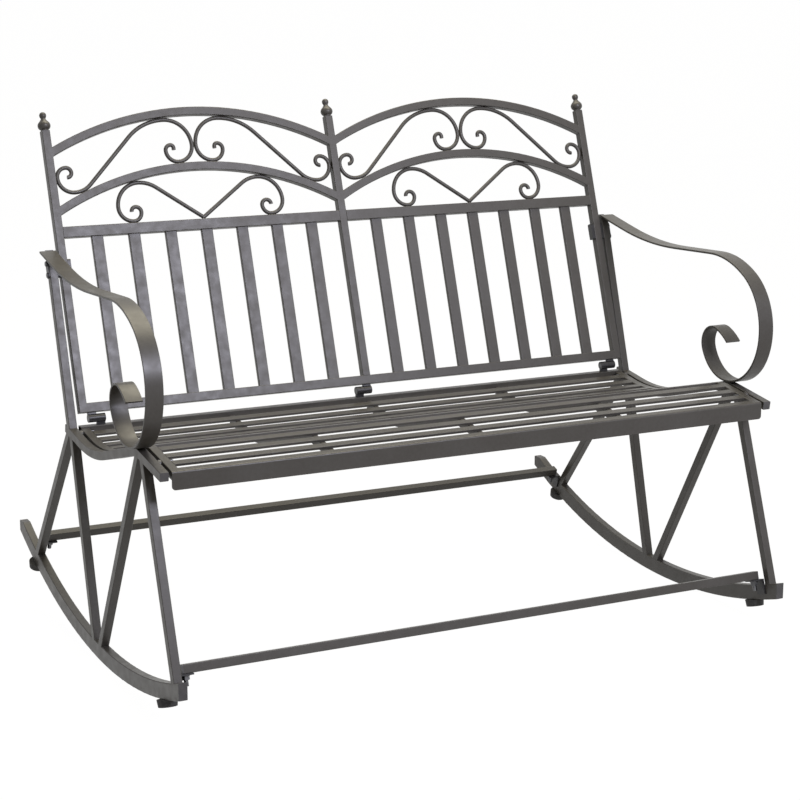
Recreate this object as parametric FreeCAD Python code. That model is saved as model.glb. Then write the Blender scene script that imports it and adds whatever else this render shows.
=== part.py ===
"""Two-seat metal rocking bench: a folding scrollwork back, a slatted seat and two side frames on rockers.

Millimetres. X runs along the bench, Y runs from front to back and Z points up. The origin lies on the
floor, in the middle of the footprint. Side-on outlines are drawn in (y, z), and the back is drawn flat in
(x, z), with its front face on y = 0 and its lower edge on z = 0, and is then leaned back and put in place.
"""
import FreeCAD, Part
import math
import os

V = FreeCAD.Vector

# Whole bench
overall_width = 1278.0          # over the outer edges of the two armrests
overall_depth = 930.0           # over the ends of the rockers
back_foot_y = 97.0              # foot of the back, behind the middle of the footprint
back_foot_height = 443.0        # foot of the back above the floor

# Tube stock
tube = 16.0                     # outer size of the square tube
tube_wall = 1.2
tube_corner = 1.2               # outer corner radius of every tube
bar_edge = 0.8                  # edge radius of the flat bars
slat_wall = 1.0                 # the back's flat bars are flattened tube
touch = 0.1                     # gap where a round rod is tacked to its neighbour
joint_gap = 0.3                 # gap between the folding back and the fixed frame
thread_play = 0.25              # radial play of a bolt in its hole
pin_play = 0.08                 # radial play of the hinge pins

# Side to side
arm_band_width = 32.0
arm_band_thickness = 4.0
arm_band_overhang = 14.5        # armrest edge outside the side frame
side_gap = 5.5                  # between the side frame and the seat or the back

# Rockers
rocker_radius = 1250.0          # of the curve that rolls on the floor
rocker_low_y = -74.0            # where that curve touches the floor
rocker_tube_height = 30.0
rocker_cap = 2.5                # plate of a rocker's end cap
rocker_rear_cut = 11.0          # the rear end's upper corner is cut level, this far down

# Seat outline, followed forward from the rear rail
seat_depth = 498.0              # foot of the back to the front of the seat
rear_rail_drop = 26.0           # foot of the back to the top of the rear rail
rear_rail_lead = 4.0            # front of the rear rail, ahead of the foot of the back
seat_line_drop = 2.9            # top of the rear rail to the seat's outline in front of it
seat_fall_angle = 8.6           # the seat falls from the rear rail at this slope
seat_fall_length = 51.7
seat_dip_radius = 348.0
seat_dip_angle = 23.8
seat_rise_length = 160.6
seat_crest_radius = 90.0
seat_crest_angle = 23.7

# Seat pieces
seat_slat_count = 14
seat_slat_width = 16.5
seat_slat_thickness = 5.0
seat_first_gap = 17.5           # rear rail to the first slat
seat_support_spacing = 297.0    # middle support to the outer ones
seat_support_width = 10.0
front_rail_height = 32.5
front_rail_lip = 15.0           # depth of the front rail's top flange
front_rail_sheet = 3.0
front_rail_bend = 4.0           # outer radius of the fold
front_rail_corner = 6.0         # rounded lower corners of the front rail

# Side frame: where each leg's centre line meets the side rail and the rocker
rear_leg_top_y = 113.5
rear_leg_foot_inset = 115.0     # in from the rocker's rear end
rear_brace_top_y = 91.0
rear_brace_foot_y = -4.0
front_brace_top_inset = 120.7   # in from the front of the seat
front_brace_foot_y = -43.0
front_leg_top_inset = 94.0      # in from the front of the seat
front_leg_foot_inset = 30.0     # in from the rocker's front end
side_rail_tail = 28.0           # side rail behind the front of the rear rail
rail_cap = 2.0                  # plate of the plastic end caps

# Armrest, followed from its lowest point
arm_low_inset = 128.0           # from the front of the seat to where the front scroll rests
arm_rear_reach = 102.2          # rear end, behind the foot of the back
arm_front_radii = (106.0, 124.0, 203.0)
arm_front_angles = (59.0, 90.0, 33.5)
arm_tail_radius = 780.0
arm_tail_angle = 14.4
arm_tail_length = 90.0
arm_curl_radii = (88.0, 37.5, 110.0)
arm_curl_angles = (66.0, 133.5, 22.5)
arm_post_lean = 17.2            # from the vertical

# Back
back_lean = 19.0                # from the vertical
post_above_arch = 35.5          # above the top arch's ends
middle_post_extra = 8.0
cross_rail_bottom = 337.0
cross_rail_height = 21.0
bottom_rail_height = 18.0
back_slat_first = 74.5          # from the panel's left post to its first bar
back_slat_pitch = 75.0          # seven bars fit in each panel
back_slat_least_gap = 15.0      # kept clear beside the next post
back_slat_width = 23.0
back_slat_thickness = 9.0
top_arch_end = 495.5            # lower edge of the arch where it meets the posts
top_arch_rise = 72.0
low_arch_end = 380.0
low_arch_rise = 76.5
rod = 8.0                       # round rod of the scrolls
finial_collar = 20.0
finial_collar_height = 2.0
finial_ball = 26.0
finial_tip = 14.0
finial_neck = 7.0
finial_mouth = 14.0             # section of the ball where it meets the collar
finial_ball_sink = 1.0          # ball into its collar
finial_tip_sink = 1.5           # tip into the ball

# Upper scrolls: quarter turns from the outside in, and the bends that lead into the slanting run
upper_outer_radii = (30.0, 19.0, 10.0, 9.0)
upper_inner_radii = (52.0, 23.0, 11.0, 6.0)     # the second quarter turn follows from the arch below
upper_outer_bend = 48.0
upper_inner_bend = 107.0
upper_inner_tip = 4.0            # straight end of the inner curl

# Lower scrolls
lower_scroll_radii = (47.5, 28.0, 17.5, 10.5, 9.0)
lower_scroll_bend = 60.0

# Hinges between the seat and the back
hinge_drop = 11.0               # axis below the foot of the back, along the back
knuckle_diameter = 16.0
knuckle_length = 16.5
hinge_pin_diameter = 8.0
hinge_leaf = 6.0
hinge_end_inset = 17.0          # outer hinge to the end of the seat
hinge_middle_x = -9.0           # split of the middle hinge

# Lock bolts between the arm posts and the back posts, two on each side
lock_height = 279.0             # middle of the pair along the back, above its foot
lock_spread = 22.0              # between the two bolts
lock_bolt = 6.0
lock_head = 10.0
lock_head_height = 2.5
lock_plate_height = 34.0
lock_plate_depth = 14.0
lock_plate_corner = 3.0
lock_outer_plate = 2.0          # thickness on the arm post
lock_nut_plate = 6.5            # thickness on the back post

# Bolts between the seat and the side rails
seat_bolt = 8.0
seat_bolt_head = 13.0
seat_bolt_head_height = 5.5
seat_spacer = 16.0

# Stretchers between the side frames
front_stretcher_inset = 50.0    # in from the rocker's front end
rear_stretcher_inset = 99.0     # in from the rocker's rear end
front_stretcher_rise = 11.8     # above the rocker, square to it
rear_stretcher_rise = 15.5
stretcher_end_gap = 9.0         # to the side frame
bracket_sheet = 3.0
bracket_width = 24.0
bracket_drop = 30.0             # below the stretcher, down the side of the rocker
bracket_reach = 28.0            # inward from the side frame
stretcher_stud = 8.0
stretcher_stud_inset = 14.0     # in from the side frame
stretcher_stud_length = 22.0
washer_diameter = 16.0
washer_thickness = 1.6
nut_width = 13.0
nut_height = 6.5

# Rubber feet under the rockers
foot_diameter = 38.0
foot_height = 13.0
foot_taper = 2.0
front_foot_inset = 80.0         # in from the rocker's front end
rear_foot_inset = 97.0          # in from the rocker's rear end
foot_screw = 6.0
foot_screw_head = 11.0

# Places that follow from the sizes above
frame_outer_x = overall_width / 2 - arm_band_overhang
frame_inner_x = frame_outer_x - tube
frame_mid_x = frame_outer_x - tube / 2
seat_outer_x = frame_inner_x - side_gap
seat_inner_x = seat_outer_x - tube
seat_front_y = back_foot_y - seat_depth
rear_rail_front_y = back_foot_y - rear_rail_lead
rear_rail_top_z = back_foot_height - rear_rail_drop
front_brace_top_y = seat_front_y + front_brace_top_inset
front_leg_top_y = seat_front_y + front_leg_top_inset
arm_low_y = seat_front_y + arm_low_inset
arm_rear_y = back_foot_y + arm_rear_reach
post_height = top_arch_end + tube + post_above_arch
rocker_rear_y = overall_depth / 2
rocker_front_y = -overall_depth / 2
rear_leg_foot_y = rocker_rear_y - rear_leg_foot_inset
front_leg_foot_y = rocker_front_y + front_leg_foot_inset
front_stretcher_y = rocker_front_y + front_stretcher_inset
rear_stretcher_y = rocker_rear_y - rear_stretcher_inset
front_foot_y = rocker_front_y + front_foot_inset
rear_foot_y = rocker_rear_y - rear_foot_inset
panel_mid_x = (seat_inner_x + tube / 2) / 2
panel_half = (seat_inner_x - tube / 2) / 2
back_mid_depth = tube / 2


def direction(angle):
    """Unit vector (a, b) at an angle in degrees from the first axis of the drawing plane."""
    return math.cos(math.radians(angle)), math.sin(math.radians(angle))


def trace(start, heading, moves):
    """Follow straight runs and tangent arcs in a plane.

    A move is a length, or a pair (radius, turn) with the turn in degrees, positive to the left. Returns the
    pieces as dictionaries, and the heading at the end.
    """
    pieces = []
    at = start
    for move in moves:
        if isinstance(move, tuple):
            radius, turn = move
            side = 1 if turn > 0 else -1
            ca, cb = direction(heading + 90 * side)
            centre = (at[0] + radius * ca, at[1] + radius * cb)
            ends = []
            for share in (0.5, 1.0):
                da, db = direction(heading - 90 * side + turn * share)
                ends.append((centre[0] + radius * da, centre[1] + radius * db))
            pieces.append({"from": at, "mid": ends[0], "to": ends[1], "centre": centre,
                           "radius": radius, "side": side, "heading": heading, "turn": turn})
            heading += turn
            at = ends[1]
        else:
            da, db = direction(heading)
            end = (at[0] + move * da, at[1] + move * db)
            pieces.append({"from": at, "to": end, "heading": heading, "turn": 0.0})
            at = end
    return pieces, heading


def shifted(start, heading, moves, offset):
    """The same run of moves, drawn a distance to the left of the first one."""
    da, db = direction(heading + 90)
    at = (start[0] + offset * da, start[1] + offset * db)
    moved = []
    for move in moves:
        if isinstance(move, tuple):
            radius, turn = move
            moved.append((radius - offset if turn > 0 else radius + offset, turn))
        else:
            moved.append(move)
    return at, heading, moved


def edges_of(pieces, place):
    """Line and arc edges for traced pieces, put into space by place(a, b)."""
    edges = []
    for piece in pieces:
        if "mid" in piece:
            edge = Part.Arc(place(*piece["from"]), place(*piece["mid"]), place(*piece["to"])).toShape()
        else:
            edge = Part.LineSegment(place(*piece["from"]), place(*piece["to"])).toShape()
        edges.append(edge)
    return edges


def rounded_wire(origin, first, second, size_1, size_2, radius):
    """A rectangle with round corners about origin, along two unit vectors."""
    half_1 = size_1 / 2
    half_2 = size_2 / 2
    radius = min(radius, 0.45 * min(size_1, size_2))
    if radius < 0.05:
        corners = [origin + first * (half_1 * a) + second * (half_2 * b)
                   for a, b in ((1, 1), (-1, 1), (-1, -1), (1, -1), (1, 1))]
        return Part.makePolygon(corners)
    edges = []
    corner_signs = ((1, 1), (-1, 1), (-1, -1), (1, -1))
    ends = []
    for a, b in corner_signs:
        centre = origin + first * (a * (half_1 - radius)) + second * (b * (half_2 - radius))
        side = centre + first * (a * radius)
        top = centre + second * (b * radius)
        bow = centre + (first * a + second * b) * (radius / math.sqrt(2))
        ends.append((side, bow, top) if a * b > 0 else (top, bow, side))
    for index, (one, bow, two) in enumerate(ends):
        edges.append(Part.Arc(one, bow, two).toShape())
        edges.append(Part.LineSegment(two, ends[(index + 1) % 4][0]).toShape())
    return Part.Wire(edges)


def swept(path, origin, first, second, size_1, size_2, radius, wall):
    """A bar, or a tube if wall is not zero, swept along a planar path of tangent edges."""
    solid = pipe(path, rounded_wire(origin, first, second, size_1, size_2, radius))
    if wall:
        hollow = rounded_wire(origin, first, second, size_1 - 2 * wall, size_2 - 2 * wall, radius - wall)
        solid = solid.cut(pipe(path, hollow))
    return solid


def pipe(path, wire):
    """Sweep a closed wire along a path of tangent edges as one solid."""
    return Part.Wire(path).makePipe(Part.Face(wire))


def side_place(x):
    """Puts (y, z) of a side-on drawing into space at x."""
    return lambda y, z: V(x, y, z)


def side_tube(start, heading, moves, x, width, height, radius, wall):
    """A bar or tube that follows a side-on outline; the outline is its centre line, x its middle."""
    pieces, _ = trace(start, heading, moves)
    path = edges_of(pieces, side_place(x))
    da, db = direction(heading + 90)
    return swept(path, V(x, *start), V(1, 0, 0), V(0, da, db), width, height, radius, wall)


def straight_bar(start, end, across, width, depth, radius, wall):
    """A straight bar or tube; across is the direction of its width."""
    along = (end - start).normalize()
    other = along.cross(across).normalize()
    solid = Part.Face(rounded_wire(start, across, other, width, depth, radius)).extrude(end - start)
    if wall:
        hollow = rounded_wire(start, across, other, width - 2 * wall, depth - 2 * wall, radius - wall)
        solid = solid.cut(Part.Face(hollow).extrude(end - start))
    return solid


def largest(shape):
    """The largest solid of a cut shape."""
    return max(shape.Solids, key=lambda solid: solid.Volume)


def trimmed(shape, *others):
    """The shape cut back to the faces of its neighbours."""
    for other in others:
        shape = shape.cut(other)
    return largest(shape)


def rod_of(pieces, place, normal):
    """A round rod along traced pieces that lie in the plane with the given normal."""
    path = edges_of(pieces, place)
    first = pieces[0]["from"]
    da, db = direction(pieces[0]["heading"])
    start = place(*first)
    along = place(first[0] + da, first[1] + db) - start
    ring = Part.Wire(Part.Circle(start, along, rod / 2).toShape())
    return pipe(path, ring)


def cylinder(radius, length, base, axis):
    """A cylinder from base along axis."""
    return Part.makeCylinder(radius, length, base, axis)


def mirrored(shape):
    """The same piece on the other side of the bench."""
    return shape.mirror(V(0, 0, 0), V(1, 0, 0))


def both_sides(shapes):
    """Pieces for the right side, with their mirror images."""
    return shapes + [mirrored(shape) for shape in shapes]


def leaned(shape):
    """A piece of the back, leaned and put in its place."""
    shape = shape.copy()
    shape.rotate(V(0, 0, 0), V(1, 0, 0), -back_lean)
    shape.translate(V(0, back_foot_y, back_foot_height))
    return shape


def back_point(x, depth, rise):
    """Where a point of the flat back drawing ends up on the bench."""
    da, db = direction(90 - back_lean)
    return V(x, back_foot_y + rise * da + depth * db, back_foot_height + rise * db - depth * da)


def height_at(pieces, y):
    """Height of a side-on outline at y."""
    for piece in pieces:
        y0, z0 = piece["from"]
        y1, z1 = piece["to"]
        if min(y0, y1) - 1e-6 <= y <= max(y0, y1) + 1e-6:
            if "mid" not in piece:
                return z0 + (z1 - z0) * (y - y0) / (y1 - y0)
            cy, cz = piece["centre"]
            reach = math.sqrt(max(piece["radius"] ** 2 - (y - cy) ** 2, 0.0))
            return cz + reach if z0 > cz else cz - reach
    raise ValueError("the outline does not reach y = %.1f" % y)


def seat_outline():
    """Start, heading and moves of the seat's top line, from the rear rail forward."""
    start = (rear_rail_front_y, rear_rail_top_z - seat_line_drop)
    heading = 180 + seat_fall_angle
    moves = [seat_fall_length, (seat_dip_radius, -seat_dip_angle), seat_rise_length,
             (seat_crest_radius, seat_crest_angle)]
    pieces, last = trace(start, heading, moves)
    end_y = pieces[-1]["to"][0]
    da, _ = direction(last)
    moves.append((seat_front_y - end_y) / da)
    return start, heading, moves


seat_line = trace(*seat_outline())[0]
seat_end_heading = trace(*seat_outline())[1]


def rocker_centre():
    """Centre of the rocker's curve, in (y, z)."""
    return rocker_low_y, rocker_radius


def rocker_top_at(y):
    """Height of the rocker's upper face."""
    inner = rocker_radius - rocker_tube_height
    return rocker_radius - math.sqrt(inner ** 2 - (y - rocker_low_y) ** 2)


def rocker_slope_at(y):
    """Slope of the rocker at y in degrees, positive where it climbs to the back."""
    return math.degrees(math.asin((y - rocker_low_y) / rocker_radius))


def rocker_box(margin):
    """The space that holds a rocker, its end cuts moved inward by a margin."""
    reach = rocker_rear_y - margin
    top = rocker_top_at(rocker_rear_y) - rocker_rear_cut - margin
    return Part.makeBox(2 * tube, 2 * reach, top + tube, V(frame_mid_x - tube, -reach, -tube))


def rocker(wall):
    """Rocker tube of one side; wall 0 gives it filled, as a tool for trimming."""
    cy, cz = rocker_centre()
    middle = rocker_radius - rocker_tube_height / 2
    back_end = rocker_rear_y + tube
    back_angle = math.degrees(math.asin((back_end - cy) / middle))
    front_angle = math.degrees(math.asin((-back_end - cy) / middle))
    da, db = direction(front_angle - 90)
    start = (cy + middle * da, cz + middle * db)
    body = side_tube(start, front_angle, [(middle, back_angle - front_angle)], frame_mid_x, tube,
                     rocker_tube_height, tube_corner, wall)
    return largest(body.common(rocker_box(rocker_cap if wall else 0.0)))


def rocker_caps():
    """Plastic plugs that close the two ends of a rocker."""
    return rocker(0).cut(rocker_box(rocker_cap)).Solids


def side_rail_moves(drop):
    """Centre line of the side rail: the seat's outline, carried on behind it, a distance lower."""
    start, heading, moves = seat_outline()
    da, db = direction(heading)
    longer = [moves[0] + side_rail_tail] + moves[1:]
    longer[-1] -= rail_cap
    tail = (start[0] - side_rail_tail * da, start[1] - side_rail_tail * db)
    return shifted(tail, heading, longer, drop)


def side_rail(wall):
    """Contoured rail of a side frame."""
    start, heading, moves = side_rail_moves(tube / 2)
    return side_tube(start, heading, moves, frame_mid_x, tube, tube, tube_corner, wall)


def side_rail_caps():
    """Plastic end plates of a side rail."""
    start, heading, moves = side_rail_moves(tube / 2)
    pieces, last = trace(start, heading, moves)
    caps = []
    for point, angle, sign in ((start, heading, -1), (pieces[-1]["to"], last, 1)):
        da, db = direction(angle)
        base = V(frame_mid_x, *point)
        end = base + V(0, da, db) * (sign * rail_cap)
        caps.append(straight_bar(base, end, V(1, 0, 0), tube, tube, tube_corner, 0))
    return caps


def leg(top_y, foot_y, rail, floor_curve):
    """A straight leg between the side rail and the rocker, cut to fit both."""
    top = V(frame_mid_x, top_y, height_at(seat_line, min(top_y, rear_rail_front_y)) - tube)
    foot = V(frame_mid_x, foot_y, rocker_top_at(foot_y))
    along = (top - foot).normalize()
    start = foot - along * (0.8 * tube)
    end = top + along * (0.8 * tube)
    return trimmed(straight_bar(start, end, V(1, 0, 0), tube, tube, tube_corner, tube_wall), rail, floor_curve)


def arm_front_moves():
    """The large front arc, from the armrest's lowest point up to its straight run."""
    return [(radius, -turn) for radius, turn in zip(arm_front_radii, arm_front_angles)]


def arm_tail_moves():
    """The armrest's rear end, which rises gently to the arm post."""
    return [(arm_tail_radius, arm_tail_angle), arm_tail_length]


def arm_flat_length():
    """Length of the armrest's straight run, which takes its rear end as far back as the post needs."""
    front, heading = trace((arm_low_y, 0.0), 180, arm_front_moves())
    tail, _ = trace(front[-1]["to"], heading, arm_tail_moves())
    da, _ = direction(heading)
    return (arm_rear_y - tail[-1]["to"][0]) / da


def armrest_lines():
    """The armrest's outline as one run of moves, from the tip of its curl to its rear end."""
    curl_pieces, curl_end = trace((arm_low_y, arm_low_z), 0,
                                  [(radius, turn) for radius, turn in zip(arm_curl_radii, arm_curl_angles)])
    tip = curl_pieces[-1]["to"]
    moves = [(radius, -turn) for radius, turn in zip(arm_curl_radii[::-1], arm_curl_angles[::-1])]
    moves += arm_front_moves() + [arm_flat_length()] + arm_tail_moves()
    return tip, curl_end + 180, moves


def arm_rest_height():
    """Height at which the armrest's front arc touches the crest of the seat's outline.

    Two circles touch where their centres are the sum of their radii apart.
    """
    crest = seat_line[3]
    crest_y, crest_z = crest["centre"]
    apart = crest["radius"] + arm_front_radii[0]
    return crest_z + math.sqrt(apart ** 2 - (arm_low_y - crest_y) ** 2) - arm_front_radii[0]


arm_low_z = arm_rest_height()


def armrest(extra):
    """Flat band bent into the armrest and its front scroll; the traced line is its outer face.

    With an extra length at its rear end it serves as a tool for trimming the post.
    """
    start, heading, moves = armrest_lines()
    moves[-1] += extra
    start, heading, moves = shifted(start, heading, moves, -arm_band_thickness / 2)
    middle_x = overall_width / 2 - arm_band_width / 2
    return side_tube(start, heading, moves, middle_x, arm_band_width, arm_band_thickness, bar_edge, 0)


def lock_points():
    """Places of the two lock bolts of one side, in (y, z)."""
    places = []
    for sign in (-1, 1):
        point = back_point(0, back_mid_depth, lock_height + sign * lock_spread / 2)
        places.append((point.y, point.z))
    return places


def arm_post(rail, band):
    """Leaning post from the rear of the side rail up to the armrest, with the holes of the lock bolts."""
    da, db = direction(90 - arm_post_lean)
    middle = back_point(frame_mid_x, back_mid_depth, lock_height)
    along = V(0, da, db)
    start = middle - along * (lock_height + 2.5 * tube)
    end = middle + along * (6 * tube)
    post = straight_bar(start, end, V(1, 0, 0), tube, tube, tube_corner, tube_wall)
    post = trimmed(post, rail, band)
    for y, z in lock_points():
        post = post.cut(cylinder(lock_bolt / 2, 2 * tube, V(frame_mid_x - tube, y, z), V(1, 0, 0)))
    return post


def front_rail():
    """Folded sheet: a top flange along the seat's outline and a front flange down."""
    front = seat_line[-1]["to"]
    da, db = direction(seat_end_heading)
    start = (front[0] - front_rail_lip * da, front[1] - front_rail_lip * db)
    turn = 270 - seat_end_heading
    set_back = front_rail_bend * math.tan(math.radians(turn / 2))
    moves = [front_rail_lip - set_back, (front_rail_bend, turn), front_rail_height - set_back]
    start, heading, moves = shifted(start, seat_end_heading, moves, front_rail_sheet / 2)
    pieces, _ = trace(start, heading, moves)
    da, db = direction(heading + 90)
    profile = rounded_wire(V(0, *start), V(1, 0, 0), V(0, da, db), 2 * seat_outer_x, front_rail_sheet, 0)
    path = edges_of(pieces, side_place(0))
    sheet = pipe(path, profile)
    low_corners = [edge for edge in sheet.Edges
                   if abs(edge.BoundBox.ZLength) < 1e-3 and abs(edge.BoundBox.XLength) < 1e-3
                   and edge.BoundBox.ZMax < front[1] - front_rail_height + 1.0]
    return sheet.makeFillet(front_rail_corner, low_corners)


def behind_seat():
    """Everything behind the front face of the rear rail, for the bars that end there."""
    return Part.makeBox(2 * overall_width, 2 * tube, 4 * tube,
                        V(-overall_width, rear_rail_front_y, rear_rail_top_z - 3 * tube))


def front_rail_block():
    """The front rail with the space it wraps round filled in front, used to trim what ends there."""
    sheet = front_rail()
    front = sheet.BoundBox.YMin
    box = Part.makeBox(2 * overall_width, tube, 4 * tube, V(-overall_width, front - tube, sheet.BoundBox.ZMin))
    return sheet.fuse(box)


def seat_bar(x, width, drop):
    """A tube that follows the seat's outline, its top a distance below it."""
    start, heading, moves = seat_outline()
    start, heading, moves = shifted(start, heading, moves, drop + tube / 2)
    return side_tube(start, heading, moves, x, width, tube, tube_corner, tube_wall)


def bolt_hole(y, z):
    """Hole for a seat bolt through the side bar and the inner wall of the side rail."""
    start = V(seat_inner_x - tube, y, z)
    return cylinder(seat_bolt / 2 + thread_play, 2 * tube + side_gap + tube / 2, start, V(1, 0, 0))


def seat_bolt_places():
    """Places of the seat bolts of one side, in (y, z): in the first gap and in the last one."""
    first, pitch = slat_row()
    rear_y = rear_rail_front_y - seat_first_gap / 2
    front_y = first - (seat_slat_count - 1.5) * pitch
    return [(y, height_at(seat_line, y) - tube / 2) for y in (rear_y, front_y)]


def slat_at(y):
    """A seat slat whose top lies on the seat's outline at y."""
    rear = height_at(seat_line, y + seat_slat_width / 2)
    front = height_at(seat_line, y - seat_slat_width / 2)
    slope = math.degrees(math.atan2(rear - front, seat_slat_width))
    da, db = direction(slope)
    top = V(0, y, (rear + front) / 2)
    middle = top + V(0, db, -da) * (seat_slat_thickness / 2)
    start = V(-seat_inner_x, middle.y, middle.z)
    end = V(seat_inner_x, middle.y, middle.z)
    return straight_bar(start, end, V(0, da, db), seat_slat_width, seat_slat_thickness, bar_edge, 0)


def slat_row():
    """Middle of the rearmost slat and the pitch that takes the row up to the front rail's flange."""
    rear_y = rear_rail_front_y - seat_first_gap
    da, _ = direction(seat_end_heading)
    lip_y = seat_front_y - front_rail_lip * da
    return rear_y - seat_slat_width / 2, (rear_y - lip_y) / seat_slat_count


def seat_slats():
    """The row of slats from the first gap to the front rail's flange."""
    first, pitch = slat_row()
    return [slat_at(first - index * pitch) for index in range(seat_slat_count)]


def rear_rail():
    """Straight tube across the rear of the seat, under the hinges."""
    middle_y = rear_rail_front_y + tube / 2
    middle_z = rear_rail_top_z - tube / 2
    return straight_bar(V(-seat_outer_x, middle_y, middle_z), V(seat_outer_x, middle_y, middle_z), V(0, 1, 0),
                        tube, tube, tube_corner, tube_wall)


def arch_lines(end_height, rise):
    """Radius and centre height of an arch's lower face."""
    radius = (panel_half ** 2 + rise ** 2) / (2 * rise)
    return radius, end_height + rise - radius


def arch(end_height, rise, posts):
    """A curved tube between the middle post and an outer one."""
    radius, centre_z = arch_lines(end_height, rise)
    middle = radius + tube / 2
    reach = panel_half + tube / 2
    half_angle = math.degrees(math.asin(reach / middle))
    da, db = direction(90 - half_angle)
    start = (panel_mid_x + middle * da, centre_z + middle * db)
    pieces, _ = trace(start, 180 - half_angle, [(middle, 2 * half_angle)])
    path = edges_of(pieces, lambda x, z: V(x, back_mid_depth, z))
    na, nb = direction(90 - half_angle)
    tube_shape = swept(path, V(start[0], back_mid_depth, start[1]), V(0, 1, 0), V(na, 0, nb), tube, tube,
                       tube_corner, tube_wall)
    return trimmed(tube_shape, *posts)


def s_bend(across, rise, first_radius, second_radius):
    """Turn and straight length of a run that leaves level, slants and ends level.

    It moves by across and rise, starts with a bend of one radius and ends with an opposite bend.
    """
    both = first_radius + second_radius
    straight = math.sqrt(across ** 2 + rise ** 2 - 2 * rise * both)
    turn = math.degrees(math.atan2(rise - both, across) + math.atan2(both, straight))
    return turn, straight


def upper_scroll():
    """Centre line of an upper scroll, in (distance from the panel's middle, height).

    Its outer bend and the second quarter turn of its inner curl touch the lower arch, and the bend before the
    inner curl touches the top arch.
    """
    low_radius, low_centre = arch_lines(low_arch_end, low_arch_rise)
    top_radius, top_centre = arch_lines(top_arch_end, top_arch_rise)
    half = rod / 2 + touch
    outer_a = panel_half - half - upper_outer_radii[0]
    contact = low_radius + tube + half + upper_outer_bend
    outer_b = low_centre + math.sqrt(contact ** 2 - outer_a ** 2) - upper_outer_bend
    inner_a = half + upper_inner_radii[0]
    contact = top_radius - half - upper_inner_bend
    inner_b = top_centre + math.sqrt(contact ** 2 - inner_a ** 2) + upper_inner_bend
    turn, straight = s_bend(outer_a - inner_a, inner_b - outer_b, upper_outer_bend, upper_inner_bend)
    reach = low_radius + tube + half
    above = inner_b - upper_inner_radii[0] - low_centre
    second_radius = (half ** 2 + above ** 2 - reach ** 2) / (2 * (reach - half))
    inner_curl = (upper_inner_radii[0], second_radius) + upper_inner_radii[1:]
    outer_curl = [(radius, 90) for radius in upper_outer_radii]
    pieces, heading = trace((outer_a, outer_b), 0, outer_curl)
    moves = [(radius, -90) for radius in upper_outer_radii[::-1]]
    moves += [(upper_outer_bend, -turn), straight, (upper_inner_bend, turn)]
    moves += [(radius, 90) for radius in inner_curl] + [upper_inner_tip]
    return trace(pieces[-1]["to"], heading + 180, moves)[0]


def lower_scroll():
    """Centre line of a lower scroll, from the middle of the panel on the cross rail to its curl."""
    arch_radius, arch_centre = arch_lines(low_arch_end, low_arch_rise)
    rail_top = cross_rail_bottom + cross_rail_height
    half = rod / 2 + touch
    middle_b = rail_top + half + lower_scroll_radii[1]
    top_b = middle_b + lower_scroll_radii[0]
    contact = arch_radius - half - lower_scroll_radii[0]
    top_a = math.sqrt(contact ** 2 - (middle_b - arch_centre) ** 2)
    bend_b = top_b - lower_scroll_bend
    start_b = rail_top + rod / 2
    reach = math.hypot(top_a, bend_b - start_b)
    straight = math.sqrt(reach ** 2 - lower_scroll_bend ** 2)
    slope = math.degrees(math.atan2(bend_b - start_b, top_a) + math.asin(lower_scroll_bend / reach))
    moves = [straight, (lower_scroll_bend, -slope)] + [(radius, -90) for radius in lower_scroll_radii]
    return trace((0.0, start_b), slope, moves)[0]


def scroll_pair(pieces, limits):
    """Two mirrored rods in the right panel, kept inside their half of it and clear of the limits."""
    rods = []
    for sign in (1, -1):
        solid = rod_of(pieces, lambda a, b: V(panel_mid_x + sign * a, back_mid_depth, b), V(0, 1, 0))
        corner = V(panel_mid_x if sign > 0 else panel_mid_x - panel_half, 0, 0)
        half = Part.makeBox(panel_half, tube, post_height + top_arch_rise, corner)
        rods.append(trimmed(largest(solid.common(half)), *limits))
    return rods


def finial(x, height):
    """Turned knob on a post: a collar, a ball and a smaller ball on top."""
    axis = V(0, 0, 1)
    base = V(x, back_mid_depth, height)
    ball_z = finial_collar_height + math.sqrt(finial_ball ** 2 - finial_mouth ** 2) / 2 - finial_ball_sink
    tip_z = ball_z + finial_ball / 2 + finial_tip / 2 - finial_tip_sink
    collar = cylinder(finial_collar / 2, finial_collar_height, base, axis)
    neck = cylinder(finial_neck / 2, tip_z, base, axis)
    ball = Part.makeSphere(finial_ball / 2, base + axis * ball_z)
    tip = Part.makeSphere(finial_tip / 2, base + axis * tip_z)
    above = Part.makeBox(4 * finial_ball, 4 * finial_ball, 4 * finial_ball,
                         base - V(2 * finial_ball, 2 * finial_ball, 0))
    return collar.fuse([neck, ball, tip]).common(above).removeSplitter()


def back_posts():
    """Outer and middle posts, hollow and filled."""
    posts = {}
    for wall in (0, tube_wall):
        outer_x = seat_outer_x - tube / 2
        low = V(outer_x, back_mid_depth, 0)
        high = V(outer_x, back_mid_depth, post_height)
        outer = straight_bar(low, high, V(1, 0, 0), tube, tube, tube_corner, wall)
        low = V(0, back_mid_depth, bottom_rail_height)
        high = V(0, back_mid_depth, post_height + middle_post_extra)
        middle = straight_bar(low, high, V(1, 0, 0), tube, tube, tube_corner, wall)
        posts[wall] = (outer, middle)
    return posts


def back_slats(first_post_x):
    """The flat bars of one panel, spaced from its left post, as many as it holds."""
    slats = []
    room = 2 * panel_mid_x - back_slat_first - tube / 2 - back_slat_least_gap - back_slat_width / 2
    for index in range(1 + int(room // back_slat_pitch)):
        x = first_post_x + back_slat_first + back_slat_pitch * index
        low = V(x, back_mid_depth, bottom_rail_height)
        high = V(x, back_mid_depth, cross_rail_bottom)
        slats.append(leaned(straight_bar(low, high, V(1, 0, 0), back_slat_width, back_slat_thickness,
                                         tube_corner, slat_wall)))
    return slats


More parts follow.
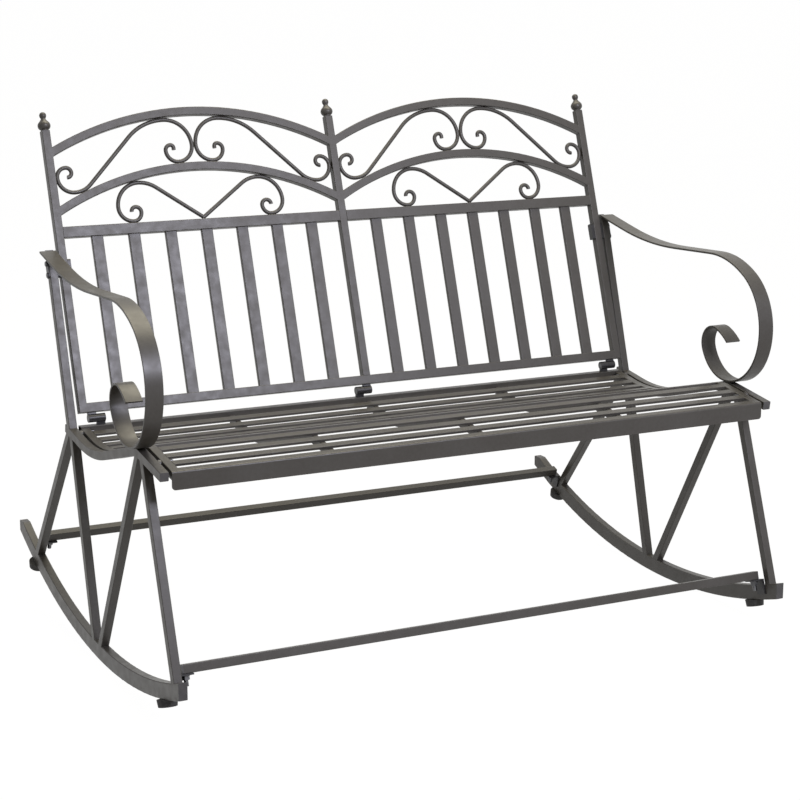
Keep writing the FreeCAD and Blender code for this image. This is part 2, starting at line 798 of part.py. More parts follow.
def mitre(x, sign):
    """Block outside the mitre at a lower corner of the back; sign says which side is kept."""
    big = 3 * tube
    inside = V(x - tube, 0, bottom_rail_height)
    outside = V(x, 0, 0)
    reach = (inside - outside) * (big / tube)
    if sign > 0:
        corners = [inside + reach, outside - reach, outside - reach + V(-2 * big, 0, 0)]
    else:
        corners = [inside + reach, outside - reach, outside - reach + V(big, 0, 2 * big)]
    wedge = Part.Face(Part.makePolygon(corners + [corners[0]]))
    wedge.translate(V(0, -tube, 0))
    return wedge.extrude(V(0, 3 * tube, 0))


def hinge_axis():
    """Axis of the back's hinges, in (y, z)."""
    point = back_point(0, back_mid_depth, -hinge_drop)
    return point.y, point.z


def hinge_splits():
    """For each hinge, the x of its split and whether its left knuckle belongs to the back."""
    outer = seat_outer_x - hinge_end_inset - knuckle_length
    return ((-outer, True), (hinge_middle_x, False), (outer, False))


def knuckle(start_x, leaf):
    """A hinge knuckle over the pin, welded on by its leaf."""
    y, z = hinge_axis()
    barrel = cylinder(knuckle_diameter / 2, knuckle_length - joint_gap / 2, V(start_x, y, z), V(1, 0, 0))
    return barrel.fuse(leaf)


def hinges():
    """Knuckles of the back, knuckles of the seat and the pins."""
    y, z = hinge_axis()
    length = knuckle_length - joint_gap / 2
    upper = []
    lower = []
    pins = []
    for split, back_on_left in hinge_splits():
        for is_left in (True, False):
            start = split - knuckle_length if is_left else split + joint_gap / 2
            of_back = is_left == back_on_left
            if of_back:
                leaf = leaned(Part.makeBox(length, hinge_leaf, hinge_drop,
                                           V(start, back_mid_depth - hinge_leaf / 2, -hinge_drop)))
                play = pin_play
            else:
                leaf = Part.makeBox(length, hinge_leaf, z - rear_rail_top_z,
                                    V(start, y - hinge_leaf / 2, rear_rail_top_z))
                play = 0.0
            bore = cylinder(hinge_pin_diameter / 2 + play, 3 * knuckle_length,
                            V(start - knuckle_length, y, z), V(1, 0, 0))
            shape = largest(knuckle(start, leaf).cut(bore))
            if of_back:
                upper.append(shape)
            else:
                lower.append(shape)
        pins.append(cylinder(hinge_pin_diameter / 2, 2 * knuckle_length, V(split - knuckle_length, y, z),
                             V(1, 0, 0)))
    return upper, lower, pins


def hexagon(width, height, base, axis, first):
    """A hexagonal head or nut, width across flats."""
    other = axis.cross(first)
    radius = width / math.sqrt(3)
    corners = []
    for index in range(7):
        da, db = direction(60 * index)
        corners.append(base + first * (radius * da) + other * (radius * db))
    return Part.Face(Part.makePolygon(corners)).extrude(axis * height)


def lock_plate(x, thickness):
    """Plate with round corners that lies along the back post."""
    middle = back_point(x, back_mid_depth, lock_height)
    da, db = direction(90 - back_lean)
    profile = rounded_wire(middle, V(0, da, db), V(0, db, -da), lock_plate_height, lock_plate_depth,
                           lock_plate_corner)
    return Part.Face(profile).extrude(V(thickness, 0, 0))


def lock_pieces():
    """Lock bolts of the right side, their plates and the studs that stay in the back post."""
    axis = V(1, 0, 0)
    split_x = seat_outer_x + joint_gap
    outer = lock_plate(frame_outer_x, lock_outer_plate)
    spacer = lock_plate(split_x, frame_inner_x - split_x)
    nut = lock_plate(seat_inner_x - lock_nut_plate, lock_nut_plate)
    bolts = []
    for y, z in lock_points():
        face_x = frame_outer_x + lock_outer_plate
        shank = cylinder(lock_bolt / 2, face_x - split_x, V(split_x, y, z), axis)
        head = cylinder(lock_head / 2, lock_head_height, V(face_x, y, z), axis)
        bolts.append(shank.fuse(head.makeFillet(0.4 * lock_head_height, [head.Edges[0]])))
        outer = outer.cut(shank)
        spacer = spacer.cut(shank)
        nut = nut.fuse(cylinder(lock_bolt / 2, tube, V(seat_inner_x, y, z), axis))
    return bolts, outer, spacer, nut


def seat_fasteners():
    """Seat bolts from the inside and their spacers, right side."""
    bolts = []
    spacers = []
    axis = V(1, 0, 0)
    for y, z in seat_bolt_places():
        head = hexagon(seat_bolt_head, seat_bolt_head_height, V(seat_inner_x - seat_bolt_head_height, y, z),
                       axis, V(0, 1, 0))
        shank = cylinder(seat_bolt / 2, tube + side_gap + tube / 2, V(seat_inner_x, y, z), axis)
        bolts.append(head.fuse(shank))
        sleeve = cylinder(seat_spacer / 2, side_gap, V(seat_outer_x, y, z), axis)
        spacers.append(sleeve.cut(cylinder(seat_bolt / 2, side_gap, V(seat_outer_x, y, z), axis)))
    return bolts, spacers


def square_to_rocker(shape, y):
    """A piece of a stretcher, turned about the rocker's top at y to follow its slope."""
    shape = shape.copy()
    shape.rotate(V(0, y, rocker_top_at(y)), V(1, 0, 0), rocker_slope_at(y))
    return shape


def stretcher_set(y, rise):
    """A stretcher, its end caps and the fasteners and bracket of its right end, square to the rocker."""
    low_z = rocker_top_at(y) + rise
    middle_z = low_z + tube / 2
    end_x = frame_inner_x - stretcher_end_gap
    bar = straight_bar(V(-end_x + rail_cap, y, middle_z), V(end_x - rail_cap, y, middle_z), V(0, 1, 0), tube,
                       tube, tube_corner, tube_wall)
    stud_x = frame_inner_x - stretcher_stud_inset - rail_cap
    hole = cylinder(stretcher_stud / 2, tube_wall, V(stud_x, y, low_z), V(0, 0, 1))
    bar = bar.cut(hole).cut(mirrored(hole))
    cap = straight_bar(V(end_x - rail_cap, y, middle_z), V(end_x, y, middle_z), V(0, 1, 0), tube, tube,
                       tube_corner, 0)
    upright = Part.makeBox(bracket_sheet, bracket_width, bracket_drop,
                           V(frame_inner_x - bracket_sheet, y - bracket_width / 2, low_z - bracket_drop))
    shelf = Part.makeBox(bracket_reach, bracket_width, bracket_sheet,
                         V(frame_inner_x - bracket_reach, y - bracket_width / 2, low_z - bracket_sheet))
    down = V(0, 0, -1)
    passage = cylinder(stretcher_stud / 2 + thread_play, 4 * bracket_sheet,
                       V(stud_x, y, low_z + bracket_sheet), down)
    bracket = upright.fuse(shelf).removeSplitter().cut(passage)
    stud = cylinder(stretcher_stud / 2, stretcher_stud_length + tube_wall, V(stud_x, y, low_z + tube_wall), down)
    washer_z = low_z - bracket_sheet
    washer = cylinder(washer_diameter / 2, washer_thickness, V(stud_x, y, washer_z), down)
    washer = washer.cut(cylinder(stretcher_stud / 2 + thread_play, washer_thickness, V(stud_x, y, washer_z), down))
    nut_z = washer_z - washer_thickness
    nut = hexagon(nut_width, nut_height, V(stud_x, y, nut_z), down, V(1, 0, 0))
    nut = nut.cut(cylinder(stretcher_stud / 2, nut_height, V(stud_x, y, nut_z), down))
    return [square_to_rocker(shape, y) for shape in (bar, cap, bracket, stud, washer, nut)]


def foot(y):
    """Rubber foot square to the underside of the rocker at y, and its screw."""
    cy, cz = rocker_centre()
    slope = rocker_slope_at(y)
    da, db = direction(slope - 90)
    out = V(0, da, db)
    seat_point = V(frame_mid_x, cy, cz) + out * rocker_radius
    start = seat_point - out * (0.3 * foot_height)
    cone = Part.makeCone(foot_diameter / 2, foot_diameter / 2 - foot_taper, 1.3 * foot_height, start, out)
    sunk = foot_height * 0.35
    recess = cylinder(foot_screw_head / 2 + thread_play, foot_height, seat_point + out * (foot_height - sunk), out)
    bore = cylinder(foot_screw / 2, 2 * foot_height, start, out)
    rubber = trimmed(cone, rocker_keep_out()).cut(recess).cut(bore)
    head = cylinder(foot_screw_head / 2, 0.6 * sunk, seat_point + out * (foot_height - sunk), out)
    shank = cylinder(foot_screw / 2, foot_height - sunk + tube_wall, seat_point - out * tube_wall, out)
    return rubber, head.fuse(shank), bore


def rocker_keep_out():
    """Everything above the rocker's lower face, for trimming the feet flush with it."""
    cy, cz = rocker_centre()
    return cylinder(rocker_radius, 8 * tube, V(frame_mid_x - 4 * tube, cy, cz), V(1, 0, 0))


nodes = {}


def add(name, shapes):
    """Keep one named piece, or a group of like pieces."""
    nodes[name] = shapes if isinstance(shapes, list) else [shapes]


def add_pair(name, shape):
    """Keep a piece for the right side and its mirror image for the left."""
    add(name + "_right", shape)
    add(name + "_left", [mirrored(item) for item in shape] if isinstance(shape, list) else mirrored(shape))


def build_side_frames():
    """Rockers, legs, side rails, arm posts, armrests, feet and caps of both sides."""
    rail_filled = side_rail(0)
    rail = side_rail(tube_wall)
    for y, z in seat_bolt_places():
        rail = rail.cut(cylinder(seat_bolt / 2, tube / 2, V(frame_inner_x, y, z), V(1, 0, 0)))
    floor_filled = rocker(0)
    shell = rocker(tube_wall)
    feet = []
    screws = []
    for y in (front_foot_y, rear_foot_y):
        rubber, screw, bore = foot(y)
        feet.append(rubber)
        screws.append(screw)
        shell = shell.cut(bore)
    add_pair("rocker", largest(shell))
    add("rocker_end_caps", both_sides(rocker_caps()))
    add("rubber_feet", both_sides(feet))
    add("foot_screws", both_sides(screws))
    add_pair("rear_leg", leg(rear_leg_top_y, rear_leg_foot_y, rail_filled, floor_filled))
    add_pair("rear_brace", leg(rear_brace_top_y, rear_brace_foot_y, rail_filled, floor_filled))
    add_pair("front_brace", leg(front_brace_top_y, front_brace_foot_y, rail_filled, floor_filled))
    add_pair("front_leg", leg(front_leg_top_y, front_leg_foot_y, rail_filled, floor_filled))
    add_pair("side_rail", rail)
    add("side_rail_caps", both_sides(side_rail_caps()))
    add_pair("arm_post", arm_post(rail_filled, armrest(2 * tube)))
    add_pair("armrest", armrest(0.0))


def build_seat():
    """Seat frame, support bars, slats and the bolts that hold the seat between the side frames."""
    ends = [front_rail_block(), behind_seat()]
    slats = seat_slats()
    side = trimmed(seat_bar(seat_outer_x - tube / 2, tube, 0.0), *ends)
    for y, z in seat_bolt_places():
        side = side.cut(bolt_hole(y, z))
    add("seat_front_rail", front_rail())
    add("seat_rear_rail", rear_rail())
    add_pair("seat_side_bar", side)
    supports = []
    for x in (-seat_support_spacing, 0.0, seat_support_spacing):
        supports.append(trimmed(seat_bar(x, seat_support_width, seat_slat_thickness), *ends, Part.makeCompound(slats)))
    add("seat_support_bars", supports)
    add("seat_slats", slats)
    bolts, spacers = seat_fasteners()
    add("seat_bolts", both_sides(bolts))
    add("seat_spacers", both_sides(spacers))


def build_back():
    """The folding back: posts, rails, arches, slats, scrolls and finials."""
    posts = back_posts()
    outer, middle = posts[tube_wall]
    filled = list(posts[0])
    filled.append(mirrored(filled[0]))
    outer = outer.cut(mitre(seat_outer_x, 1))
    for sign in (-1, 1):
        start = V(seat_inner_x, back_mid_depth, lock_height + sign * lock_spread / 2)
        outer = outer.cut(cylinder(lock_bolt / 2, tube, start, V(1, 0, 0)))
    add_pair("back_post", leaned(largest(outer)))
    add("back_post_middle", leaned(middle))
    bottom_z = bottom_rail_height / 2
    bottom = straight_bar(V(-seat_outer_x, back_mid_depth, bottom_z), V(seat_outer_x, back_mid_depth, bottom_z),
                          V(0, 1, 0), tube, bottom_rail_height, tube_corner, tube_wall)
    bottom = bottom.cut(mitre(seat_outer_x, -1)).cut(mirrored(mitre(seat_outer_x, -1)))
    add("back_bottom_rail", leaned(largest(bottom)))
    rail_z = cross_rail_bottom + cross_rail_height / 2
    cross = straight_bar(V(tube / 2, back_mid_depth, rail_z), V(seat_inner_x, back_mid_depth, rail_z),
                         V(0, 1, 0), tube, cross_rail_height, tube_corner, tube_wall)
    cross_filled = straight_bar(V(tube / 2, back_mid_depth, rail_z), V(seat_inner_x, back_mid_depth, rail_z),
                                V(0, 1, 0), tube, cross_rail_height, tube_corner, 0)
    add_pair("back_cross_rail", leaned(cross))
    add_pair("top_arch", leaned(arch(top_arch_end, top_arch_rise, filled[:2])))
    add_pair("lower_arch", leaned(arch(low_arch_end, low_arch_rise, filled[:2])))
    add("back_slats_right", back_slats(0.0))
    add("back_slats_left", back_slats(-2 * panel_mid_x))
    add_pair("upper_scrolls", [leaned(solid) for solid in scroll_pair(upper_scroll(), [])])
    add_pair("lower_scrolls", [leaned(solid) for solid in scroll_pair(lower_scroll(), [cross_filled])])
    outer_x = seat_outer_x - tube / 2
    knobs = [finial(-outer_x, post_height), finial(0.0, post_height + middle_post_extra),
             finial(outer_x, post_height)]
    add("finials", [leaned(solid) for solid in knobs])


def build_hardware():
    """Hinges, lock bolts and stretchers."""
    upper, lower, pins = hinges()
    add("hinge_knuckles_back", upper)
    add("hinge_knuckles_seat", lower)
    add("hinge_pins", pins)
    bolts, outer, spacer, nut = lock_pieces()
    add("lock_bolts", both_sides(bolts))
    add("lock_outer_plates", both_sides([outer]))
    add("lock_spacers", both_sides([spacer]))
    add("lock_nut_plates", both_sides([nut]))
    groups = {"stretcher_caps": [], "stretcher_brackets": [], "stretcher_studs": [], "stretcher_washers": [],
              "stretcher_nuts": []}
    for name, y, rise in (("front_stretcher", front_stretcher_y, front_stretcher_rise),
                          ("rear_stretcher", rear_stretcher_y, rear_stretcher_rise)):
        bar, *ends = stretcher_set(y, rise)
        add(name, bar)
        for key, shape in zip(groups, ends):
            groups[key] += both_sides([shape])
    for key, shapes in groups.items():
        add(key, shapes)


def write_nodes():
    """One STEP file per node."""
    os.makedirs("parts", exist_ok=True)
    for name, shapes in nodes.items():
        solids = [solid for shape in shapes for solid in shape.Solids]
        whole = solids[0] if len(solids) == 1 else Part.makeCompound(solids)
        whole.exportStep("parts/%s.step" % name)
        volume = sum(solid.Volume for solid in solids)
        print("%-24s %2d solid(s) %10.0f mm3 %s" % (name, len(solids), volume, whole.isValid()))


build_side_frames()
build_seat()
build_back()
build_hardware()
write_nodes()
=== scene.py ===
# %% [markdown]
# # A two-seat rocking bench in satin grey powder coat
#
# The bench is steel tube and bar: two side frames on curved rockers, a slatted seat between them, and a back
# with scrollwork that folds forward. Its construction comes in as a fixed frame, one mesh for each piece, in
# metres. This lesson dresses that frame: paint, hardware finishes and turned knobs, and then a camera, a floor
# and lamps like those of a catalogue picture.

import math

import bpy
import numpy as np
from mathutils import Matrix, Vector


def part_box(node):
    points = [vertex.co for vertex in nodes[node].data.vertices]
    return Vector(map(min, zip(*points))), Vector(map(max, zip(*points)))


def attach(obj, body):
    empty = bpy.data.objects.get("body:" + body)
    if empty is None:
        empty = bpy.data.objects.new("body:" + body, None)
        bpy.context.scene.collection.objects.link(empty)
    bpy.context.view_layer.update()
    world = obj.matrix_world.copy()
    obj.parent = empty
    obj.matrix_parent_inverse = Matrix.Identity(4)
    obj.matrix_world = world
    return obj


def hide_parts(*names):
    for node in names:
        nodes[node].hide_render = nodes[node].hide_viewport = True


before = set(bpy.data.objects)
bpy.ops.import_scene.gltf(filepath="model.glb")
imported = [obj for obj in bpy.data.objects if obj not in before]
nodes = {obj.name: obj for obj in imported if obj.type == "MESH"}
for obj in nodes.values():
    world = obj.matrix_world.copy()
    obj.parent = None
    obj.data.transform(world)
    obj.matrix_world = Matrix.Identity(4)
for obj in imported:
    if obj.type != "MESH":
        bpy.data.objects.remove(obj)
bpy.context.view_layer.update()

# %% [markdown]
# ## Camera
#
# The picture was taken from the left front, a little above the armrests, with a long lens. Fitting the straight
# rails gives the eye's place and two angles: how far the view is turned from straight on, and how far it looks
# down. A camera in Blender looks along its own -Z, so the view direction is turned into a rotation with
# to_track_quat. A long lens keeps the rails nearly parallel, as they are in the picture.

# %% Camera
EYE = Vector((-1.72035, -3.47939, 1.27667))
VIEW_TURN = math.radians(26.616)        # from +Y towards +X
VIEW_DROP = math.radians(12.329)        # below the horizon
FOCAL_LENGTH = 90.52                    # mm, on a sensor 36 mm wide

sight = Vector((math.sin(VIEW_TURN) * math.cos(VIEW_DROP),
                math.cos(VIEW_TURN) * math.cos(VIEW_DROP),
                -math.sin(VIEW_DROP)))
camera_data = bpy.data.cameras.new("camera")
camera_data.lens = FOCAL_LENGTH
camera_data.sensor_width = 36.0
camera_data.clip_end = 500.0
camera = bpy.data.objects.new("camera", camera_data)
bpy.context.scene.collection.objects.link(camera)
camera.location = EYE
camera.rotation_mode = "QUATERNION"
camera.rotation_quaternion = sight.to_track_quat("-Z", "Y")
bpy.context.scene.camera = camera
print("camera at", tuple(round(v, 3) for v in EYE))

# %% [markdown]
# ## Node helpers
#
# Every finish is a small graph of shader nodes. Three helpers keep the graphs readable: one adds a node and sets
# its plain inputs, one links two sockets, and one makes a noise pattern on Object coordinates, so that the
# pattern is fixed to the metal and has a real size in metres.

# %% Node helpers
def add_node(tree, kind, **inputs):
    """Adds a shader node and sets the named input sockets to constants."""
    node = tree.nodes.new(kind)
    for name, value in inputs.items():
        node.inputs[name.replace("_", " ")].default_value = value
    return node


def join(tree, source, target):
    """Links an output socket to an input socket."""
    tree.links.new(source, target)


def noise(tree, grain, detail=3.0):
    """Noise on Object coordinates; grain is the size of its blotches in metres."""
    place = tree.nodes.new("ShaderNodeTexCoord")
    pattern = add_node(tree, "ShaderNodeTexNoise", Scale=1.0 / grain, Detail=detail, Roughness=0.55)
    join(tree, place.outputs["Object"], pattern.inputs["Vector"])
    return pattern.outputs["Fac"]


print("node helpers ready")

# %% [markdown]
# ## Finish helpers
#
# A noise in Blender stays mostly between 0.3 and 0.7, so stretching that part of it gives a share that uses the
# whole range from 0 to 1. Such a share can mix two colours, or set how rough a surface is from place to place. The
# last two helpers start a finish and give it a bumpy surface.

# %% Finish helpers
NOISE_LOW = 0.3
NOISE_HIGH = 0.7


def stretch(tree, source, new_low=0.0, new_high=1.0, low=NOISE_LOW):
    """Stretches the part of a noise between low and NOISE_HIGH over new_low to new_high."""
    node = add_node(tree, "ShaderNodeMapRange")
    for index, value in enumerate((low, NOISE_HIGH, new_low, new_high), start=1):
        node.inputs[index].default_value = value
    join(tree, source, node.inputs[0])
    return node.outputs["Result"]


def shade_between(tree, share, dark, light):
    """Mixes two colours by a share from 0 to 1."""
    node = tree.nodes.new("ShaderNodeMix")
    node.data_type = "RGBA"
    node.inputs["A"].default_value = (*dark, 1.0)
    node.inputs["B"].default_value = (*light, 1.0)
    join(tree, share, node.inputs["Factor"])
    return node.outputs["Result"]


def new_finish(name):
    """A material with its node tree and Principled shader."""
    material = bpy.data.materials.new(name)
    material.use_nodes = True
    tree = material.node_tree
    shader = next(node for node in tree.nodes if node.type == "BSDF_PRINCIPLED")
    return material, tree, shader


def add_bump(tree, shader, height, depth):
    """Feeds a height pattern to the shader's normal; depth is in metres."""
    bump = add_node(tree, "ShaderNodeBump", Strength=1.0, Distance=depth)
    join(tree, height, bump.inputs["Height"])
    join(tree, bump.outputs["Normal"], shader.inputs["Normal"])


print("finish helpers ready")

# %% [markdown]
# ## Powder coat
#
# The whole bench is sprayed with a dark grey powder that melts into a satin skin about a tenth of a millimetre
# thick. Close to, that skin has a fine orange peel and is never quite even: it is slightly darker and browner from
# one blotch to the next. One flat colour would look like plastic, so two noises tint the base colour, a third one
# moves the roughness, and a last, very fine one gives the orange peel. The skin is much darker than it looks in
# the picture, because most of what the eye sees there is light mirrored by its gloss.

# %% Powder coat
BROAD_BLOTCH = 0.11                     # metres, as are the next three
FINE_BLOTCH = 0.006
GLOSS_BLOTCH = 0.02
ORANGE_PEEL = 0.0015
FINE_SHARE = 0.4                        # of the tint; the broad blotches give the rest
PAINT_ROUGHNESS = (0.34, 0.46)
PAINT_SPECULAR = 0.4


def powder_coat(name, dark, light, peel_depth):
    """Satin paint on steel: blotchy base colour, uneven gloss and orange peel."""
    material, tree, shader = new_finish(name)
    broad = stretch(tree, noise(tree, BROAD_BLOTCH, 4.0))
    fine = stretch(tree, noise(tree, FINE_BLOTCH, 5.0))
    both = add_node(tree, "ShaderNodeMix")
    both.inputs["Factor"].default_value = FINE_SHARE
    join(tree, broad, both.inputs["A"])
    join(tree, fine, both.inputs["B"])
    colour = shade_between(tree, both.outputs["Result"], dark, light)
    join(tree, colour, shader.inputs["Base Color"])
    gloss = stretch(tree, noise(tree, GLOSS_BLOTCH), *PAINT_ROUGHNESS)
    join(tree, gloss, shader.inputs["Roughness"])
    shader.inputs["Specular IOR Level"].default_value = PAINT_SPECULAR
    add_bump(tree, shader, noise(tree, ORANGE_PEEL, 2.0), peel_depth)
    return material


FRAME_DARK = (0.041, 0.037, 0.031)
FRAME_LIGHT = (0.060, 0.057, 0.051)
BLACK_DARK = (0.012, 0.012, 0.013)
BLACK_LIGHT = (0.024, 0.023, 0.024)
frame_paint = powder_coat("frame_powder_coat", FRAME_DARK, FRAME_LIGHT, peel_depth=0.00004)
black_paint = powder_coat("black_powder_coat", BLACK_DARK, BLACK_LIGHT, peel_depth=0.00003)
print("finishes:", frame_paint.name, black_paint.name)

# %% [markdown]
# ## Bolts, rubber and plastic
#
# Fasteners are steel with a dark, dulled plating and fine scratches. The feet are moulded rubber, nearly black
# and matte, with a dusty bloom. The plugs in the tube ends are a slightly glossier moulded plastic.

# %% Fasteners
PLATING_CLOUD = 0.004                   # metres, as is the next one
SCRATCH = 0.0007
SCRATCH_DEPTH = 0.00002
STEEL_DARK = (0.07, 0.07, 0.075)
STEEL_LIGHT = (0.13, 0.13, 0.13)
STEEL_ROUGHNESS = (0.3, 0.5)


def dulled_steel(name):
    """Dark plating: metallic, with fine scratches in its roughness and a cloudy grey tint."""
    material, tree, shader = new_finish(name)
    cloud = stretch(tree, noise(tree, PLATING_CLOUD, 4.0))
    join(tree, shade_between(tree, cloud, STEEL_DARK, STEEL_LIGHT), shader.inputs["Base Color"])
    shader.inputs["Metallic"].default_value = 1.0
    join(tree, stretch(tree, noise(tree, SCRATCH, 2.0), *STEEL_ROUGHNESS), shader.inputs["Roughness"])
    add_bump(tree, shader, noise(tree, SCRATCH, 2.0), SCRATCH_DEPTH)
    return material


fastener_steel = dulled_steel("dulled_steel")
print("finish:", fastener_steel.name)

# %% Rubber and plastic
BLOOM = 0.012                           # metres, as is the next one
SHEEN_BLOTCH = 0.005
BLOOM_LOW = 0.35                        # leaves a little more of the surface without bloom
GRAIN_DEPTH = 0.00003


def moulded(name, dark, light, roughness, grain):
    """Rubber or plastic: an even colour with a bloom, and a fine moulded grain."""
    material, tree, shader = new_finish(name)
    bloom = stretch(tree, noise(tree, BLOOM, 4.0), low=BLOOM_LOW)
    join(tree, shade_between(tree, bloom, dark, light), shader.inputs["Base Color"])
    join(tree, stretch(tree, noise(tree, SHEEN_BLOTCH, 2.0), *roughness), shader.inputs["Roughness"])
    add_bump(tree, shader, noise(tree, grain, 2.0), GRAIN_DEPTH)
    return material


foot_rubber = moulded("foot_rubber", dark=(0.012, 0.012, 0.012), light=(0.028, 0.027, 0.026),
                      roughness=(0.62, 0.8), grain=0.0008)
plug_plastic = moulded("plug_plastic", dark=(0.045, 0.044, 0.045), light=(0.065, 0.063, 0.064),
                       roughness=(0.42, 0.55), grain=0.0006)
print("finishes:", foot_rubber.name, plug_plastic.name)

# %% [markdown]
# ## Paint every piece of the frame
#
# Almost everything is welded first and then sprayed, so frame paint is the rule. A node keeps its mesh, and only
# its material slots change. The few groups with another finish are named here, and all the rest is frame paint.

# %% Assign the finishes
OTHER_FINISH = {
    "rubber_feet": foot_rubber,
    "rocker_end_caps": plug_plastic, "side_rail_caps": plug_plastic, "stretcher_caps": plug_plastic,
    "seat_spacers": plug_plastic,
    "hinge_knuckles_back": black_paint, "hinge_knuckles_seat": black_paint, "lock_outer_plates": black_paint,
    "lock_spacers": black_paint, "lock_nut_plates": black_paint, "stretcher_brackets": black_paint,
    "hinge_pins": fastener_steel, "lock_bolts": fastener_steel, "seat_bolts": fastener_steel,
    "stretcher_studs": fastener_steel, "stretcher_washers": fastener_steel, "stretcher_nuts": fastener_steel,
    "foot_screws": fastener_steel,
}
for name, piece in nodes.items():
    piece.data.materials.clear()
    piece.data.materials.append(OTHER_FINISH.get(name, frame_paint))
print("painted", len(nodes), "pieces,", len(OTHER_FINISH), "of them not in frame paint")

# %% [markdown]
# ## Turned finials
#
# Each post of the back ends in a small knob turned on a lathe: a foot, a bulb with hollow shoulders, a neck and
# a bead on top. The frame holds a plain collar and two balls there, so a lathed piece stands in for them. A
# profile of radius and height is carried round an axis that leans with the back. More rings where the profile
# bends give round shoulders with few faces, and each end closes in a point.

# %% Turned finials
KNOB_PROFILE = ((7.4, 0.0), (7.9, 0.5), (7.9, 1.3), (7.4, 1.8), (8.2, 2.6), (10.0, 4.0), (11.4, 6.0), (12.2, 8.4),
                (12.4, 10.8), (12.0, 13.2), (10.8, 15.6), (9.0, 17.8), (7.2, 19.8), (5.8, 21.6), (4.9, 23.2),
                (4.6, 24.4), (5.0, 25.3), (5.8, 26.6), (6.5, 28.4), (6.7, 30.6), (6.4, 32.8), (5.3, 34.8),
                (3.4, 36.2), (1.3, 36.9))       # mm: radius, height above the post
KNOB_TOP = 37.0                                 # mm
TURNS = 40
BACK_LEAN = math.radians(19.0)
POST_HALF = 0.008                               # half of the square tube
POSTS = ("back_post_left", "back_post_middle", "back_post_right")


def lathe(base, axis, profile, top, turns):
    """Points and faces of a closed turned solid.

    Each height of the profile goes along the axis. Its radius, times the cosine and sine of a full turn, goes
    along two directions square to the axis. One point closes each end.
    """
    radius, height = np.array(profile).T / 1000
    angle = np.linspace(0.0, 2 * math.pi, turns, endpoint=False)
    side = np.array((1.0, 0.0, 0.0))
    around = np.cos(angle)[:, None] * side + np.sin(angle)[:, None] * np.cross(axis, side)
    rings = base + height[:, None, None] * axis + radius[:, None, None] * around
    points = np.vstack((base, rings.reshape(-1, 3), base + axis * top / 1000))
    step = np.arange(turns)
    after = (step + 1) % turns
    low = 1 + turns * np.arange(len(profile) - 1)[:, None]
    walls = np.stack((low + step, low + after, low + turns + after, low + turns + step), axis=-1)
    first = np.stack((np.zeros_like(step), 1 + after, 1 + step), axis=-1)
    end = 1 + turns * (len(profile) - 1)
    last = np.stack((end + step, end + after, np.full_like(step, len(points) - 1)), axis=-1)
    return points, walls.reshape(-1, 4).tolist() + first.tolist() + last.tolist()


def turned_finials():
    """The three knobs as one mesh, each on the top of its post.

    A post's top is a square that leans with the back. Its front edge is the highest and its rear edge the
    rearmost, so its middle lies half a tube, times the cosine and sine of the lean, before and below the upper
    rear corner of the post's box.
    """
    axis = np.array((0.0, math.sin(BACK_LEAN), math.cos(BACK_LEAN)))
    corner_step = POST_HALF * np.array((0.0, math.cos(BACK_LEAN), math.sin(BACK_LEAN)))
    points = np.empty((0, 3))
    faces = []
    for post in POSTS:
        low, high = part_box(post)
        top_middle = np.array(((low[0] + high[0]) / 2, high[1], high[2])) - corner_step
        knob_points, knob_faces = lathe(top_middle, axis, KNOB_PROFILE, KNOB_TOP, TURNS)
        faces += [tuple(len(points) + corner for corner in face) for face in knob_faces]
        points = np.vstack((points, knob_points))
    mesh = bpy.data.meshes.new("turned_finials")
    mesh.from_pydata(points.tolist(), [], faces)
    mesh.shade_smooth()
    piece = bpy.data.objects.new("turned_finials", mesh)
    bpy.context.scene.collection.objects.link(piece)
    return piece


finials = turned_finials()
finials.data.materials.append(frame_paint)
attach(finials, "back")
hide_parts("finials")
print("finials:", len(finials.data.polygons), "faces on", len(POSTS), "posts")

# %% [markdown]
# ## What the camera sees and what sheds light
#
# The catalogue picture has a plain white ground, but a real white room would wash out the dark paint. A Light Path
# node tells the rays apart: floor and world can look white to the camera and in reflections, and yet shed only a
# little light on the bench.

# %% Rays that see the ground
WHITE = (1.0, 1.0, 1.0, 1.0)


def seen_rays(tree):
    """1 for rays that come from the camera, a mirror or glass, and 0 for the rest."""
    path = tree.nodes.new("ShaderNodeLightPath")
    total = path.outputs["Is Camera Ray"]
    for kind in ("Is Glossy Ray", "Is Transmission Ray"):
        larger = tree.nodes.new("ShaderNodeMath")
        larger.operation = "MAXIMUM"
        join(tree, total, larger.inputs[0])
        join(tree, path.outputs[kind], larger.inputs[1])
        total = larger.outputs["Value"]
    return total


print("ray helper ready")

# %% [markdown]
# ## Floor
#
# The floor is one large sheet. What the camera sees of it is mostly a white glow, with a share of real diffuse
# paint left in, so that the bench still drops a soft shadow.

# %% Floor
FLOOR_HALF = 150.0                      # metres, so the floor reaches the horizon
FLOOR_PAINT = (0.28, 0.25, 0.21, 1.0)   # dark enough that little light comes back up from it
GLOW_SHARE = 0.9
GLOW = 1.1                              # times its share, this is just under white

floor_mesh = bpy.data.meshes.new("floor")
floor_mesh.from_pydata([(-FLOOR_HALF, -FLOOR_HALF, 0.0), (FLOOR_HALF, -FLOOR_HALF, 0.0),
                        (FLOOR_HALF, FLOOR_HALF, 0.0), (-FLOOR_HALF, FLOOR_HALF, 0.0)], [], [(0, 1, 2, 3)])
floor = bpy.data.objects.new("floor", floor_mesh)
bpy.context.scene.collection.objects.link(floor)

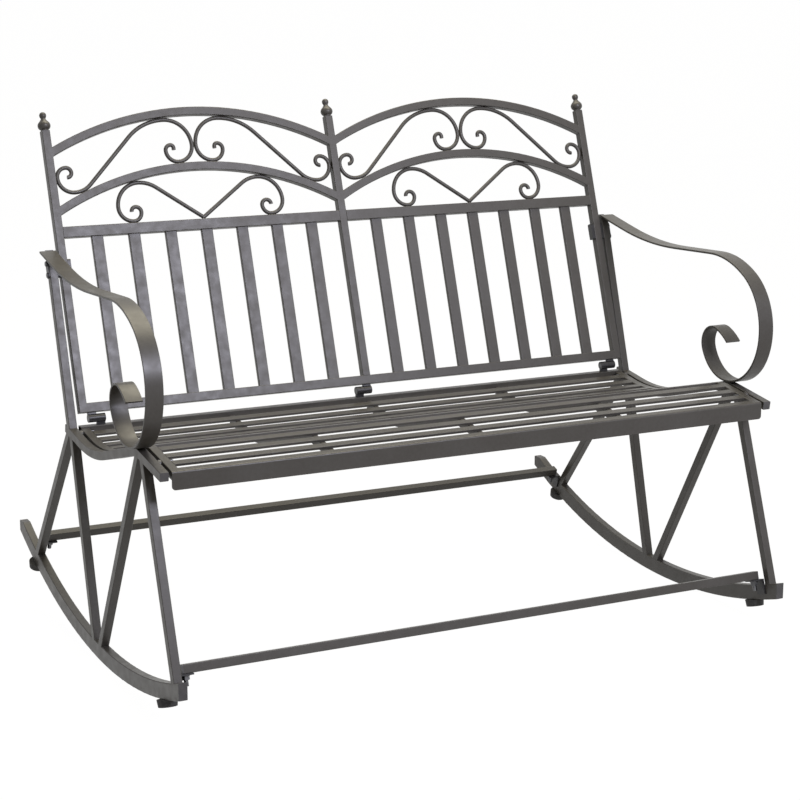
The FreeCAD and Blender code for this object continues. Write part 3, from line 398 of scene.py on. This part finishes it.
floor_material = bpy.data.materials.new("floor_white")
floor_material.use_nodes = True
tree = floor_material.node_tree
tree.nodes.clear()
paint = add_node(tree, "ShaderNodeBsdfDiffuse", Color=FLOOR_PAINT)
glow = add_node(tree, "ShaderNodeEmission", Color=WHITE, Strength=GLOW)
share = add_node(tree, "ShaderNodeMath")
share.operation = "MULTIPLY"
share.inputs[1].default_value = GLOW_SHARE
join(tree, seen_rays(tree), share.inputs[0])
blend = tree.nodes.new("ShaderNodeMixShader")
join(tree, share.outputs["Value"], blend.inputs["Fac"])
join(tree, paint.outputs["BSDF"], blend.inputs[1])
join(tree, glow.outputs["Emission"], blend.inputs[2])
join(tree, blend.outputs["Shader"], tree.nodes.new("ShaderNodeOutputMaterial").inputs["Surface"])
floor_mesh.materials.append(floor_material)
print("floor:", 2 * FLOOR_HALF, "m wide")

# %% [markdown]
# ## World
#
# The world is white for the camera and for reflections, and a weak warm grey for the light it sheds. That grey
# stands for what the walls of a studio send back.

# %% World
AMBIENT = 0.25
AMBIENT_TINT = (1.0, 0.93, 0.86, 1.0)

world = bpy.data.worlds.new("studio")
bpy.context.scene.world = world
world.use_nodes = True
tree = world.node_tree
tree.nodes.clear()
ambient = add_node(tree, "ShaderNodeBackground", Color=AMBIENT_TINT, Strength=AMBIENT)
white = add_node(tree, "ShaderNodeBackground", Color=WHITE, Strength=1.0)
blend = tree.nodes.new("ShaderNodeMixShader")
join(tree, seen_rays(tree), blend.inputs["Fac"])
join(tree, ambient.outputs["Background"], blend.inputs[1])
join(tree, white.outputs["Background"], blend.inputs[2])
join(tree, blend.outputs["Shader"], tree.nodes.new("ShaderNodeOutputWorld").inputs["Surface"])
print("world: ambient light", AMBIENT)

# %% [markdown]
# ## Lamps
#
# Satin paint shows its lamps as broad reflections, so two soft boxes do most of the work. A warm one hangs
# overhead, a little behind the bench, and makes the tops of the slats, rails and armrests the brightest faces.
# A cooler one stands high in front. The back leans, so its faces send that light to the camera, while the
# upright front rail and legs, which would mirror something lower, stay darker.

# %% Lamps
def soft_box(name, place, target, width, height, watts, tint):
    """An area lamp of width by height metres at place, turned to face target."""
    data = bpy.data.lights.new(name, "AREA")
    data.color = tint
    data.shape = "RECTANGLE"
    data.size = width
    data.size_y = height
    data.energy = watts
    lamp = bpy.data.objects.new(name, data)
    bpy.context.scene.collection.objects.link(lamp)
    lamp.location = place
    lamp.rotation_mode = "QUATERNION"
    lamp.rotation_quaternion = (Vector(target) - Vector(place)).to_track_quat("-Z", "Y")
    return lamp


WARM = (1.0, 0.92, 0.70)
VIOLET = (0.85, 0.85, 1.0)
lamps = [
    soft_box("overhead_box", place=(0.3, 0.5, 3.2), target=(0.0, 0.1, 0.4), width=2.4, height=1.8, watts=84.0,
             tint=WARM),
    soft_box("front_box", place=(0.55, -2.9, 2.15), target=(-0.2, 0.2, 0.8), width=1.3, height=0.9, watts=92.0,
             tint=VIOLET),
]
print("lamps:", [(lamp.name, lamp.data.energy) for lamp in lamps])

# %% [markdown]
# ## View transform
#
# The render uses Blender's Standard view transform, so no film curve is laid over the colours.

# %% Finish
bpy.context.scene.view_settings.view_transform = "Standard"
